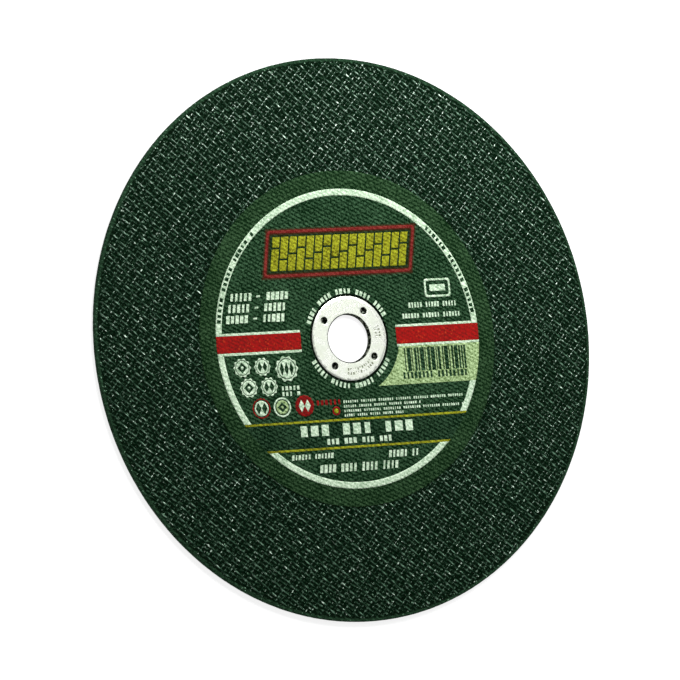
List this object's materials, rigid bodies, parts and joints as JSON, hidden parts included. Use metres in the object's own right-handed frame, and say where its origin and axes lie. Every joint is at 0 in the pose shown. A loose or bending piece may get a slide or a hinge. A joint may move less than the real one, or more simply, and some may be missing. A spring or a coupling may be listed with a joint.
{
  "type": "grinding disc",
  "caption": "Flat round resin-bonded abrasive disc with glass-fibre nets in both faces, a printed paper label and a pierced steel ring in the bore.",
  "frame": {"origin": "on the bore's axis at the back face, the lowest plane of the disc as it lies with its label up", "axes": "+Z along the bore out of the label's face, +Y towards the top of the label's print"},
  "size_m": [0.3, 0.3, 0.0029],
  "materials": {
    "abrasive_mix": "gritty, dark green",
    "glass_net": "resin-soaked glass fibre, grey-green",
    "ring_steel": "bright plated sheet steel",
    "label_paper": "dark green printed paper, embossed by the press cloth",
    "white_ink": "white print",
    "red_ink": "red print",
    "yellow_ink": "yellow print",
    "pale_green_ink": "pale green print"
  },
  "bodies": {
    "root": {"abrasive_body": "abrasive_mix", "front_net": "glass_net", "back_net": "glass_net", "centre_ring": "ring_steel", "label": "label_paper", "white_print": "white_ink", "red_print": "red_ink", "yellow_print": "yellow_ink", "pale_green_print": "pale_green_ink"}
  },
  "joints": []
}
